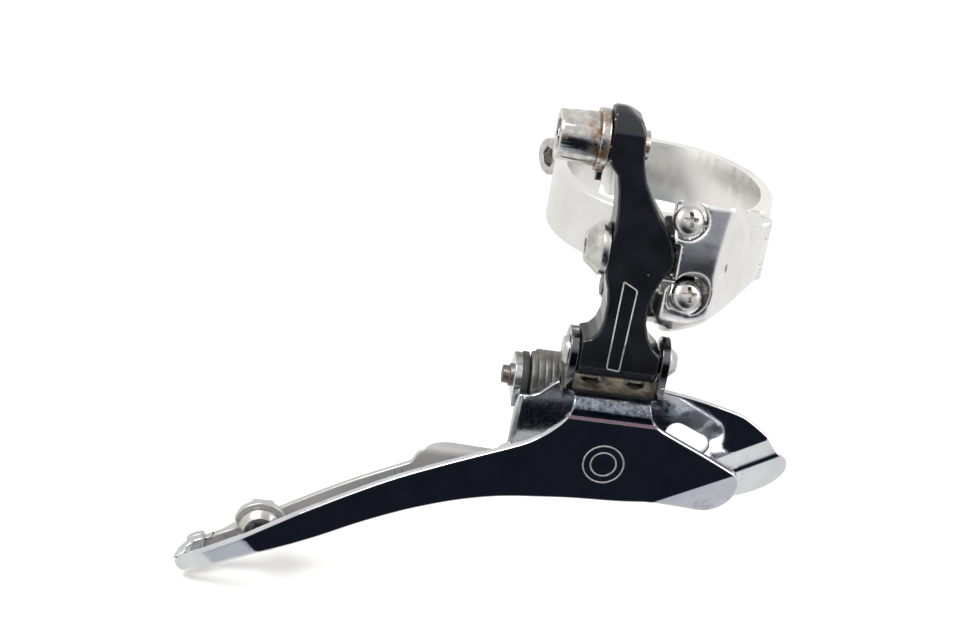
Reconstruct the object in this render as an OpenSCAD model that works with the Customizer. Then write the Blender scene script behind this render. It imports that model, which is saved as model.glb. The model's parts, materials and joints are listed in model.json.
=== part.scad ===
// Front derailleur for a double chainset, band-on, bottom pull.
// Frame: origin at the centre of the seat tube bore, +Z up the seat tube,
// +X to the front of the bicycle, +Y inboard, so the outer side faces -Y.
// All sizes in millimetres.

/* [Clamp] */
// Bore radius of the closed band
bore_r = 17.5; // [14.2:0.05:17.6]
// Outer radius of the band
band_r = 19.8; // [17:0.1:22]
// Half the height of the band
band_h = 5.6; // [4:0.1:8]
// Direction of the split, seen from above
split_angle = 116; // [90:1:140]
// Direction of the hinge, seen from above
hinge_angle = -42; // [-60:1:-20]
// Radius at which the hinge pin stands
hinge_r = 20.4; // [20:0.1:24]
// Radius at which the clamp bolt crosses the split
bolt_at = 23.8; // [22:0.1:28]

/* [Linkage] */
// Upper outer pivot, Y
p1_y = -31.5; // [-36:0.1:-26]
// Upper outer pivot, Z
p1_z = 3.4; // [0:0.1:8]
// Lower outer pivot, Y
p2_y = -31.4; // [-36:0.1:-26]
// Lower outer pivot, Z
p2_z = -16.0; // [-20:0.1:-12]
// Inner pivots stand this far inboard of the outer ones
link_dy = 9.9; // [8:0.1:12]
// Inner pivots stand this far above the outer ones
link_dz = -10.8; // [-13:0.1:-8]
// Radius of the pivot pins
pin_r = 2.0; // [1.5:0.05:2.5]
// Running clearance on the pins
run = 0.06; // [0.02:0.01:0.1]

/* [Outer link] */
// Cable anchor axis, Y
anchor_y = -29; // [-33:0.1:-24]
// Cable anchor axis, Z
anchor_z = 21.5; // [18:0.1:26]

/* [Cage] */
// Outer face of the outer plate
outer_y = -38.5; // [-42:0.1:-34]
// Outer face of the inner plate
inner_y = -28.0; // [-32:0.1:-24]
// Thickness of the outer plate
outer_t = 1.5; // [1:0.1:2]
// Thickness of the inner plate
inner_t = 1.2; // [1:0.1:1.3]
// Outer radius of the spring
spring_r = 5.1; // [4:0.05:5.2]
// Thickness of the spring's wire
wire_t = 1.4; // [1:0.05:1.5]
// Top of the bridge between the plates
bridge_z = -21.6; // [-24:0.1:-19]
// Rivets that join the bridge and the inner plate, Y
rivet_y = -29.8; // [-31:0.1:-29.5]
// Outer bend radius of the bridge
bend_r = 3.2; // [1.5:0.1:4]
// Tail screw, X
tail_x = -63.4; // [-66:0.1:-61]
// Tail screw, Z
tail_z = -58.9; // [-60:0.1:-57]

/* [Limit screws] */
// Middle of the upper limit screw's head, X
low_x = -0.6; // [-3:0.1:3]
// Middle of the upper limit screw's head, Z
low_z = 12.1; // [10:0.1:14]
// Middle of the lower limit screw's head, X
high_x = 1.4; // [-1:0.1:4]
// Middle of the lower limit screw's head, Z
high_z = -0.7; // [-3:0.1:1]
// Upward tilt of both limit screws
screw_rise = 30; // [20:1:35]
// Forward turn of both limit screws
screw_turn = 12; // [0:1:15]
// Thread radius
limit_r = 1.5; // [1.25:0.05:2]
// Front face of the block
face_y = -36.6; // [-38:0.1:-34]

/* [Hidden] */
$fn = 64;
p3_y = p1_y + link_dy;
p3_z = p1_z + link_dz;
p4_y = p2_y + link_dy;
p4_z = p2_z + link_dz;
knuckle_r = 2.7;
low_y = -35.7;
high_y = -37;
hinge_x = hinge_r * cos(hinge_angle);
hinge_y = hinge_r * sin(hinge_angle);

// ---- shared shapes -------------------------------------------------------

// cylinder along X
module xcyl(x0, x1, y, z, r) {
  translate([x0, y, z])
    rotate([0, 90, 0])
      cylinder(r = r, h = x1 - x0);
}

// cone along X
module xcone(x0, x1, y, z, r0, r1) {
  translate([x0, y, z])
    rotate([0, 90, 0])
      cylinder(r1 = r0, r2 = r1, h = x1 - x0);
}

// cylinder along Y
module ycyl(y0, y1, x, z, r) {
  translate([x, y1, z])
    rotate([90, 0, 0])
      cylinder(r = r, h = y1 - y0);
}

// cone along Y, r0 at y0
module ycone(y0, y1, x, z, r0, r1) {
  translate([x, y1, z])
    rotate([90, 0, 0])
      cylinder(r1 = r1, r2 = r0, h = y1 - y0);
}

// outline given in XZ, swept along Y
module sweep_y(y0, y1, pts) {
  translate([0, y1, 0])
    rotate([90, 0, 0])
      linear_extrude(height = y1 - y0)
        polygon(pts);
}

// outline given in YZ, swept along X
module sweep_x(x0, x1, pts) {
  translate([x0, 0, 0])
    rotate([90, 0, 90])
      linear_extrude(height = x1 - x0)
        polygon(pts);
}

// outline given in XY, swept along Z
module sweep_z(z0, z1, pts) {
  translate([0, 0, z0])
    linear_extrude(height = z1 - z0)
      polygon(pts);
}

// box from corner to corner
module box(a, b) {
  translate(a)
    cube([b[0] - a[0], b[1] - a[1], b[2] - a[2]]);
}

// part of the band, from angle a0 on through sweep
module band_sector(a0, sweep) {
  rotate([0, 0, a0])
    rotate_extrude(angle = sweep)
      polygon([[bore_r - 0.6, -band_h], [band_r - 0.5, -band_h], [band_r, -band_h + 0.5],
        [band_r, band_h - 0.5], [band_r - 0.5, band_h], [bore_r - 0.6, band_h]]);
}

// frame of the clamp bolt: X outwards, Y along the bolt
module at_bolt() {
  rotate([0, 0, split_angle])
    translate([bolt_at, 0, 0])
      children();
}

// frame of a limit screw: Y runs along it into the block, from the middle of its head
module at_screw(x, y, z) {
  translate([x, y, z])
    rotate([-screw_rise, 0, screw_turn])
      children();
}

// lug for the clamp bolt, from s0 to s1 along the bolt
module bolt_lug(s0, s1) {
  at_bolt() {
    ycyl(s0, s1, 0, 0, 4.8);
    box([-5.6, s0, -4.8], [0, s1, 4.8]);
  }
}

// ---- clamp and block -----------------------------------------------------

// the block that carries pivots and limit screws
module block() {
  intersection() {
    sweep_x(-3.2, 18, [[face_y, -4.8], [-36, -6], [-29, -11.2], [-27, -12], [-19.6, -12], [-18.2, -10.4],
      [-18.2, -5.3], [-12, -5.3], [-12, 5.2], [-20, 5.2], [-30.5, 13.2], [-33.6, 14.6], [-34.5, 14.3],
      [-36.3, 8.8], [face_y, 7.6]]);
    sweep_z(-13, 16, [[-3.2, -37], [4.9, -37], [5.6, -36.2], [6.6, -34.8], [16.4, -17.2], [15.4, -11], [-3.2, -11]]);
    sweep_y(-37, -10, [[-3.2, -7.6], [-2.4, -8.6], [-1, -9.2], [-1, -13], [4.2, -13], [8.5, -9.2], [12, -5.4],
      [17.5, -5.3], [17.5, 5.3], [12.5, 5.4], [7.6, 14], [6, 16], [-3.2, 16]]);
  }
  // lug of the upper inner pivot
  sweep_x(-5.7, 3, [[-27.5, -5], [-27.5, -9.6], [-26.2, -11.4], [-24, -11.9], [-19.7, -11.9], [-18.3, -10.3],
    [-18.3, -4], [-24, -4]]);
}

module clamp_body() {
  color("Silver")
    difference() {
      union() {
        band_sector(split_angle + 3.5, 360 - split_angle - 3.5 + hinge_angle - 3);
        bolt_lug(1.2, 5.4);
        block();
        translate([hinge_x, hinge_y, -band_h])
          cylinder(r = knuckle_r, h = 2 * band_h);
      }
      // bore
      translate([0, 0, -20])
        cylinder(r = bore_r, h = 40);
      // room for the middle knuckle of the band
      translate([hinge_x, hinge_y, -2.6])
        cylinder(r = knuckle_r + 0.3, h = 5.2);
      // hinge pin hole
      translate([hinge_x, hinge_y, -7])
        cylinder(r = 1.25, h = 14);
      // clamp bolt hole
      at_bolt()
        ycyl(0, 7, 0, 0, 2.75);
      // pocket for the barrel of the outer link
      xcyl(-6.5, -1.6, p1_y, p1_z, 6.1);
      // tunnel for the barrel, then the thread of its screw
      xcyl(-2, 3.9, p1_y, p1_z, 3.2);
      xcyl(3, 7.4, p1_y, p1_z, pin_r);
      // window in which the stop lever swings
      box([-2.2, -33.9, -4.2], [3.9, -24, 2]);
      box([-2.2, -33.3, -3], [3.9, -23, 17]);
      box([-4, -30.2, 5.8], [3.9, -23, 17]);
      // upper limit screw, its seat open to the rear
      at_screw(low_x, low_y, low_z) {
        ycyl(-3, 5, 0, 0, limit_r + run);
        ycyl(-3, 2.1, 0, 0, 3.2);
        box([-5.5, -3, -2.1], [0, 2.1, 3.2]);
      }
      // lower limit screw
      at_screw(high_x, high_y, high_z) {
        ycyl(-3, 5, 0, 0, limit_r + run);
        ycyl(-3, 2.6, 0, 0, 3.5);
      }
      // inner pivot pin hole
      xcyl(-7, 3, p3_y, p3_z, pin_r);
    }
}

module clamp_band() {
  color("Gainsboro")
    difference() {
      union() {
        band_sector(hinge_angle + 3, split_angle - hinge_angle - 6.5);
        bolt_lug(-5.4, -1.2);
        translate([hinge_x, hinge_y, -2.3])
          cylinder(r = knuckle_r, h = 4.6);
      }
      translate([0, 0, -20])
        cylinder(r = bore_r, h = 40);
      // room for the two outer knuckles
      translate([hinge_x, hinge_y, 2.3])
        cylinder(r = knuckle_r + 0.3, h = 5);
      translate([hinge_x, hinge_y, -7.3])
        cylinder(r = knuckle_r + 0.3, h = 5);
      translate([hinge_x, hinge_y, -7])
        cylinder(r = 1.25 + run, h = 14);
      at_bolt()
        ycyl(-7, 0, 0, 0, 2.9);
    }
}

module hinge_pin() {
  color("DimGray")
    translate([hinge_x, hinge_y, -band_h])
      cylinder(r = 1.25, h = 2 * band_h);
}

module clamp_bolt() {
  color("LightSteelBlue")
    difference() {
      union() {
        at_bolt()
          ycyl(-11.5, 6.6, 0, 0, 2.5);
        at_bolt()
          ycyl(6.4, 9.6, 0, 0, 3.4);
      }
      at_bolt()
        translate([0, 9.7, 0])
          rotate([90, 0, 0])
            cylinder(r = 2, h = 2.2, $fn = 6);
    }
}

module clamp_bolt_washer() {
  color("Silver")
    at_bolt()
      difference() {
        ycyl(5.4, 6.4, 0, 0, 4.6);
        ycyl(5, 7, 0, 0, 2.6);
      }
}

module clamp_nut() {
  color("Silver")
    at_bolt()
      difference() {
        translate([0, -5.4, 0])
          rotate([90, 0, 0])
            cylinder(r = 4.6, h = 4, $fn = 6);
        ycyl(-10, -5, 0, 0, 2.9);
      }
}

// ---- limit screws --------------------------------------------------------

// screw with its length from the top of the head to the tip
module limit_screw(length) {
  difference() {
    union() {
      ycyl(1.9, length - 1, 0, 0, limit_r);
      ycone(length - 1.05, length, 0, 0, limit_r, 0.6);
      ycyl(0.4, 2, 0, 0, 2.6);
      ycone(0, 0.45, 0, 0, 2.2, 2.6);
    }
    box([-1.5, -0.1, -0.35], [1.5, 0.9, 0.35]);
    box([-0.35, -0.1, -1.5], [0.35, 0.9, 1.5]);
  }
}

module low_limit_screw() {
  color("Gainsboro")
    at_screw(low_x, low_y, low_z)
      limit_screw(4.3);
}

module high_limit_screw() {
  color("Gainsboro")
    at_screw(high_x, high_y, high_z)
      limit_screw(4.2);
}

// ---- links ---------------------------------------------------------------

// outline of the arm, seen from outside
arm_pts = [[-15.9, 27.6], [-15.2, 28.3], [-13.8, 28.3], [-10.9, 26.3], [-10.3, 25.2], [-10, 22.6], [-9.6, 19.6],
  [-8.7, 16.6], [-7.5, 14.4], [-5.7, 11.6], [-3.2, 8.1], [-2.4, 6.3], [-2, 4], [-2.3, 2], [-3.3, -0.2],
  [-4.2, -2.4], [-4.6, -5.4], [-4.3, -8.1], [-3.4, -10.8], [-2.2, -12.8], [-0.7, -14.2], [-0.7, -20.1],
  [-14.6, -20.1], [-14.6, -12.6], [-12.9, -11.9], [-12, -10.6], [-11.6, -8.6], [-11.6, -5.4], [-12, -2.8],
  [-12.7, -0.8], [-13, 1], [-13, 5.3], [-12.7, 8.1], [-12.8, 11], [-13.2, 14.4], [-13.8, 17], [-15.1, 18.4],
  [-15.9, 20]];

module outer_link() {
  color("DimGray")
    difference() {
      union() {
        intersection() {
          sweep_y(-37, -24, arm_pts);
          union() {
            sweep_x(-20, 3, [[-34.6, -16], [-34.9, -8], [-34.9, 3], [-34.7, 8], [-33.2, 18], [-33, 24.5], [-31.4, 27.4],
              [-29, 28.2], [-26.6, 27.2], [-25.4, 24.5], [-25.2, 18], [-27.9, 8], [-28.1, 3], [-28.1, -16]]);
            xcyl(-20, 3, p2_y, p2_z, 3.9);
          }
        }
        xcyl(-12.9, -1.9, p1_y, p1_z, 3.6);
        xcyl(-3, 3.6, p1_y, p1_z, 2.9);
        // seat of the anchor washer
        xcyl(-16.1, -13, anchor_y, anchor_z, 3.8);
        // stop lever above, stop tab below
        box([-1.9, p1_y - 0.1, p1_z + 2.4], [1.4, p1_y + 2.1, p1_z + 8.4]);
        box([0.1, p1_y + 1.9, p1_z - 6], [3.2, p1_y + 3.4, p1_z]);
        box([0.1, p1_y + 1.0, p1_z - 1.8], [3.2, p1_y + 3.4, p1_z + 1.6]);
      }
      xcyl(-20, 5, p1_y, p1_z, pin_r + run);
      xcyl(-20, 5, p2_y, p2_z, pin_r + run);
      xcyl(-20, -8.5, anchor_y, anchor_z, 2.5 + run);
      // groove in which the cable lies
      box([-16.4, -36, anchor_z - 3.6], [-15.4, -22, anchor_z - 2.3]);
    }
}

module outer_pivot_screw() {
  color("Silver")
    difference() {
      union() {
        xcyl(-13.1, 7.4, p1_y, p1_z, pin_r);
        xcyl(-14.2, -13.0, p1_y, p1_z, 4.6);
        xcone(-16.6, -14.2, p1_y, p1_z, 2.6, 4.5);
      }
      translate([-16.7, p1_y, p1_z])
        rotate([0, 90, 0])
          cylinder(r = 1.45, h = 1.6, $fn = 6);
    }
}

module cable_anchor_bolt() {
  color("Tan")
    difference() {
      union() {
        xcyl(-17.8, -9.0, anchor_y, anchor_z, 2.5);
        xcone(-24.2, -17.7, anchor_y, anchor_z, 4.2, 4.6);
      }
      translate([-24.3, anchor_y, anchor_z])
        rotate([0, 90, 0])
          cylinder(r = 2.9, h = 3.6, $fn = 6);
    }
}

module cable_anchor_washer() {
  color("Gainsboro")
    difference() {
      union() {
        xcyl(-17.7, -16.1, anchor_y, anchor_z, 5.3);
        box([-17.2, anchor_y - 2.4, anchor_z - 6.4], [-16.1, anchor_y + 2.4, anchor_z]);
      }
      xcyl(-19, -15, anchor_y, anchor_z, 2.5 + run);
    }
}

module inner_link() {
  color("DarkGray")
    difference() {
      union() {
        xcyl(-9.7, -6.0, p3_y, p3_z, 2.9);
        xcyl(-9.7, -6.0, p4_y, p4_z, 3.0);
        box([-9.7, p3_y - 1.9, p4_z], [-6.0, p3_y + 1.9, p3_z]);
      }
      xcyl(-14, -5, p3_y, p3_z, pin_r + run);
      xcyl(-14, -5, p4_y, p4_z, pin_r + run);
      // relief in the web
      box([-8.7, p3_y - 3, p4_z + 5.4], [-7.0, p3_y + 3, p3_z - 5.2]);
    }
}

module inner_pivot_pin() {
  color("DimGray") {
    xcyl(-11.1, 2.8, p3_y, p3_z, pin_r);
  }
}

module inner_pivot_clip() {
  color("DimGray")
    difference() {
      xcyl(-10.5, -9.9, p3_y, p3_z, 3.2);
      xcyl(-12, -9, p3_y, p3_z, pin_r);
      box([-12, p3_y - 1.1, p3_z - 4], [-9, p3_y + 1.1, p3_z]);
    }
}

// ---- cage ----------------------------------------------------------------

// outline of the outer plate
outer_pts = [[-78, -65.2], [-77.4, -66.4], [-76, -66.4], [-73.6, -65], [-70.7, -62.9], [-67.2, -60.8],
  [-63.5, -58.7], [-58.3, -56.4], [-53.8, -54.2], [-47.4, -50.7], [-42.1, -48.1], [-37.2, -46],
  [-30.6, -43.7], [-23.9, -42.1], [-16.5, -41.2], [-11, -40.6],
  [-3.6, -40.1], [2.1, -39.6], [7, -40.2], [12.2, -40.8], [14.6, -39.7], [16.4, -37.6], [17.2, -34.2],
  [16.5, -32.9], [9.7, -29.6], [5.2, -27.6], [1.6, -26], [0.1, -25], [-0.6, -23.6], [-0.9, -20], [-14.4, -20], [-14.5, -23.9], [-15.4, -25.9], [-17.2, -28.1],
  [-19.8, -30.3], [-22.1, -31.6], [-28, -34.2], [-35.3, -37.5], [-42.7, -41.1], [-50.2, -45.4], [-57.3, -49.8],
  [-66.7, -56.3], [-73.5, -60.7], [-77, -63.4]];

// outline of the leg that returns from the tail to the tail screw
leg_pts = [[-77, -66.4], [-76.8, -63.3], [-75.8, -62.4], [-73.1, -61.4], [-72.8, -62.6], [-71.4, -61.4],
  [-66.8, -58.8], [-60.5, -57.5], [-60.5, -62.5], [-66.8, -63.4], [-71, -65.2], [-75, -67]];

// ear that holds the lower outer pivot
module outer_ear(x0, x1) {
  xcyl(x0, x1, p2_y, p2_z, 4.3);
  box([x0, p2_y - 3.6, bridge_z - 1.4], [x1, p2_y + 4.2, p2_z]);
}

module outer_cage_plate() {
  color("Silver")
    difference() {
      union() {
        // the plate and its tail, creased twice and turned inboard
        intersection() {
          sweep_y(-40, -26, outer_pts);
          sweep_z(-70, bridge_z - bend_r, [[-65, outer_y], [20, outer_y], [20, outer_y + outer_t],
            [-65, outer_y + outer_t], [-72.6, outer_y + 2.4], [-76, outer_y + 5], [-75.6, outer_y + 7.6],
            [-73.4, inner_y - 1.5], [-73.4, inner_y], [-75, inner_y], [-77, outer_y + 8.4],
            [-78, outer_y + 4.6], [-73.6, outer_y + 1.1]]);
        }
        sweep_y(inner_y - 1.5, inner_y, leg_pts);
        ycyl(inner_y - 1.5, inner_y, tail_x, tail_z, 5);
        // rounded bend into the bridge
        intersection() {
          translate([-14.4, outer_y + bend_r, bridge_z - bend_r])
            rotate([0, 90, 0])
              difference() {
                cylinder(r = bend_r, h = 13.5);
                translate([0, 0, -1])
                  cylinder(r = bend_r - outer_t, h = 16);
              }
          box([-20, outer_y, bridge_z - bend_r], [5, outer_y + bend_r, bridge_z]);
        }
        sweep_z(bridge_z - outer_t, bridge_z, [[-14.4, outer_y + bend_r], [-0.9, outer_y + bend_r],
          [1, -33.8], [1, -27.2], [-16.2, -27.2], [-16.2, -33.8]]);
        outer_ear(-16.2, -14.8);
        outer_ear(-0.5, 1);
      }
      xcyl(-20, 5, p2_y, p2_z, pin_r);
      ycyl(inner_y - 3, inner_y + 1, tail_x, tail_z, 1.5);
      translate([-11, rivet_y, bridge_z - 3])
        cylinder(r = 1.2, h = 4);
      translate([-3.4, rivet_y, bridge_z - 3])
        cylinder(r = 1.2, h = 4);
    }
}

// outline of the inner plate
inner_pts = [[-23.4, -26.9], [-19.6, -27.1], [-15.6, -23.1], [1, -23.1], [2.7, -23.3], [8.4, -24.1],
  [16.1, -25.9], [18.9, -27.3], [21.6, -29.3], [23.6, -31.2], [26.5, -33.6], [27, -35], [26.6, -37.3],
  [24.2, -40.4], [20, -42.6], [12, -43.2], [2, -42.8], [-10, -42.8],
  [-20, -43.7], [-30, -45.9], [-40, -49.3], [-50, -54.2], [-59, -60.4], [-66, -63.6], [-70.4, -64.8],
  [-71.2, -62.4], [-67.6, -59.4], [-61.5, -56], [-57.5, -53.4], [-49.2, -48.4], [-41.2, -44.2], [-38.6, -43.0],
  [-37.4, -41], [-35, -40], [-30, -38.8], [-24.4, -37.8], [-23.4, -36.8]];

// ear that holds the lower inner pivot
module inner_ear(x0, x1) {
  xcyl(x0, x1, p4_y, p4_z, 4.2);
  box([x0, inner_y + 0.4, p4_z - 4.2], [x1, p4_y, p4_z + 0.6]);
}

module inner_cage_plate() {
  color("LightGray")
    difference() {
      union() {
        sweep_y(inner_y, inner_y + inner_t, inner_pts);
        // flared band along the nose
        sweep_y(inner_y - 1.2, inner_y + 0.1, [[5, -40.2], [21.9, -29.8], [23.6, -31.2], [26.5, -33.6],
          [27, -35], [26.6, -37.3], [24.2, -40.4], [20, -42.6], [12, -43.2], [6, -43]]);
        // flange under the bridge
        box([-14.2, -33.4, bridge_z - 2.9], [-0.4, inner_y + 0.2, bridge_z - 1.5]);
        // stiffening lip behind the spring seat
        box([-37, inner_y, -41.6], [-22, inner_y + 3.0, -40.4]);
        inner_ear(-23.4, -22.0);
        inner_ear(-5.7, -4.3);
        // boss of the tail screw
        ycyl(inner_y, inner_y + inner_t, tail_x, tail_z, 4.4);
      }
      xcyl(-25, 0, p4_y, p4_z, pin_r);
      ycyl(-30, -25, tail_x, tail_z, 1.5);
      // chain clearing slot
      ycyl(-31, -25, 6.2, -31, 1.9);
      ycyl(-31, -25, 10.1, -32.6, 1.9);
      translate([6.2, -31, -31])
        rotate([0, 22.3, 0])
          translate([0, 0, -1.8])
            cube([4.22, 6, 3.6]);
      translate([-11, rivet_y, bridge_z - 5])
        cylinder(r = 1.2, h = 6);
      translate([-3.4, rivet_y, bridge_z - 5])
        cylinder(r = 1.2, h = 6);
    }
}

module lower_outer_pin() {
  color("DarkGray") {
    xcyl(-16.8, 1.6, p2_y, p2_z, pin_r);
    xcone(1, 2.7, p2_y, p2_z, 3, 1.6);
    xcone(-17.0, -16.2, p2_y, p2_z, 2.2, 2.7);
  }
}

module lower_inner_pin() {
  color("DarkGray") {
    xcyl(-24, -3.8, p4_y, p4_z, pin_r);
    xcyl(-25.2, -23.9, p4_y, p4_z, 1.6);
    xcone(-4.3, -3.4, p4_y, p4_z, 2.8, 2.2);
  }
}

// five turns of wire drawn as a grooved sleeve, with its two legs
module return_spring() {
  turn = 1.5;
  inside = spring_r - wire_t;
  color("Gray") {
    translate([-20.9, p4_y, p4_z])
      rotate([0, 90, 0])
        rotate_extrude()
          polygon(concat([[inside, 0]], [for (i = [0:4]) each [[spring_r, i * turn], [spring_r, (i + 0.93) * turn],
            [spring_r - 0.4, (i + 1) * turn]]], [[inside, 5 * turn]]));
    translate([-20.9, p4_y + inside, p4_z - 7])
      cube([1.2, 1.2, 7]);
    translate([-14.6, p4_y + inside, p4_z])
      cube([1.2, 1.2, 7.5]);
  }
}

module spring_bush() {
  color("Black")
    difference() {
      union() {
        xcyl(-21.5, -13.2, p4_y, p4_z, spring_r - wire_t - 0.05);
        xcyl(-22.0, -20.9, p4_y, p4_z, 4.4);
      }
      xcyl(-23, -12, p4_y, p4_z, pin_r);
    }
}

module bridge_rivet(x) {
  translate([x, rivet_y, bridge_z - 2.9])
    cylinder(r = 1.2, h = 2.9);
  translate([x, rivet_y, bridge_z])
    cylinder(r1 = 1.9, r2 = 1.3, h = 0.6);
  translate([x, rivet_y, bridge_z - 3.5])
    cylinder(r1 = 1.3, r2 = 1.9, h = 0.6);
}

module bridge_rivet_rear() {
  color("DarkGray")
    bridge_rivet(-11);
}

module bridge_rivet_front() {
  color("DarkGray")
    bridge_rivet(-3.4);
}

module tail_screw() {
  color("Silver")
    difference() {
      union() {
        ycyl(inner_y - 2, inner_y + 4.2, tail_x, tail_z, 1.5);
        ycyl(inner_y - 2.2, inner_y - 1.5, tail_x, tail_z, 4);
        ycone(inner_y - 3.3, inner_y - 2.15, tail_x, tail_z, 2.9, 4);
      }
      translate([tail_x, inner_y - 2, tail_z])
        rotate([90, 0, 0])
          cylinder(r = 1.7, h = 2, $fn = 6);
    }
}

module tail_nut() {
  color("Silver")
    difference() {
      translate([tail_x, inner_y + inner_t + 2.4, tail_z])
        rotate([90, 0, 0])
          cylinder(r = 3.5, h = 2.4, $fn = 6);
      ycyl(inner_y, inner_y + 6, tail_x, tail_z, 1.5);
    }
}

clamp_body();
clamp_band();
hinge_pin();
clamp_bolt();
clamp_bolt_washer();
clamp_nut();
low_limit_screw();
high_limit_screw();
outer_link();
outer_pivot_screw();
cable_anchor_bolt();
cable_anchor_washer();
inner_link();
inner_pivot_pin();
inner_pivot_clip();
outer_cage_plate();
inner_cage_plate();
lower_outer_pin();
lower_inner_pin();
return_spring();
spring_bush();
bridge_rivet_rear();
bridge_rivet_front();
tail_screw();
tail_nut();
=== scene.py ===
"""Front derailleur: the looks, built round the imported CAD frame.

+X is forward, +Y inboard and +Z up the seat tube. Shapes are written in millimetres, and finish_piece
turns them into metres."""

import json
import math

import bmesh
import bpy
import numpy as np
from mathutils import Matrix, Vector


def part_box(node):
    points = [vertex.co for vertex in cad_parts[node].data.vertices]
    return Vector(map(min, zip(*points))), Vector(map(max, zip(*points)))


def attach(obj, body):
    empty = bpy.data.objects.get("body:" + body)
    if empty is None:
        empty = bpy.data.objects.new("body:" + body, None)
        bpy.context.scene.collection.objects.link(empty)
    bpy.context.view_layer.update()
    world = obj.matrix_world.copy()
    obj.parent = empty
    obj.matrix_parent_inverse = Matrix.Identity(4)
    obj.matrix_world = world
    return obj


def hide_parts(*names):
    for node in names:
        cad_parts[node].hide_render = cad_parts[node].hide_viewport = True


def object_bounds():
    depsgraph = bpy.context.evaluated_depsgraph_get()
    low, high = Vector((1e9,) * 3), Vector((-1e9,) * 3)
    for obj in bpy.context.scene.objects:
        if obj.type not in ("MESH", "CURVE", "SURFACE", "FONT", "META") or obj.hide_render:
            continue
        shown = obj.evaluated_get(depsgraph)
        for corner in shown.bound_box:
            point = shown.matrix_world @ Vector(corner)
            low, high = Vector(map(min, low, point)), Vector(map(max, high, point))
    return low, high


MM = 0.001

# the photograph's viewpoint, in degrees and metres
CAMERA_AZIMUTH = -6.56
CAMERA_ELEVATION = 24.17
CAMERA_ROLL = 10.09
CAMERA_DISTANCE = 0.4385
CAMERA_TARGET = Vector((-30.26, -17.61, -18.67)) * MM
CAMERA_LENS = 93.94

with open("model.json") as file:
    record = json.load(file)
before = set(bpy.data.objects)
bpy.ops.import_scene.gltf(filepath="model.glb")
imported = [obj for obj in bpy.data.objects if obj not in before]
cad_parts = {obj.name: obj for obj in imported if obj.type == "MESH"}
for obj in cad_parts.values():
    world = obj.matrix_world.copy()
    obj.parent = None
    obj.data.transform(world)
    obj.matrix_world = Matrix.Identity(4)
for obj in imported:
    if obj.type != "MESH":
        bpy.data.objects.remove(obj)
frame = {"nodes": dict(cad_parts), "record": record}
cad_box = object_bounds()
nodes = frame["nodes"]
body_of_node = {
    node: body
    for body, members in frame["record"]["behaviour"]["bodies"].items()
    for node in members
}
slot_of_node = {s["node"]: s["material_slot"] for s in frame["record"]["subparts"]}
joint_at = {j["name"]: Vector(j["pos_m"]) / MM for j in frame["record"]["behaviour"]["joints"]}


def middle(node):
    low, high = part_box(node)
    return (Vector(low) + Vector(high)) / 2 / MM


P1 = joint_at["link_swing"]
P2 = joint_at["cage_level"]
P3 = joint_at["inner_link_swing"]
P4 = middle("lower_inner_pin")
ANCHOR = joint_at["anchor_bolt_turn"]
TAIL = middle("tail_nut")


# ---- materials ----


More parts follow.
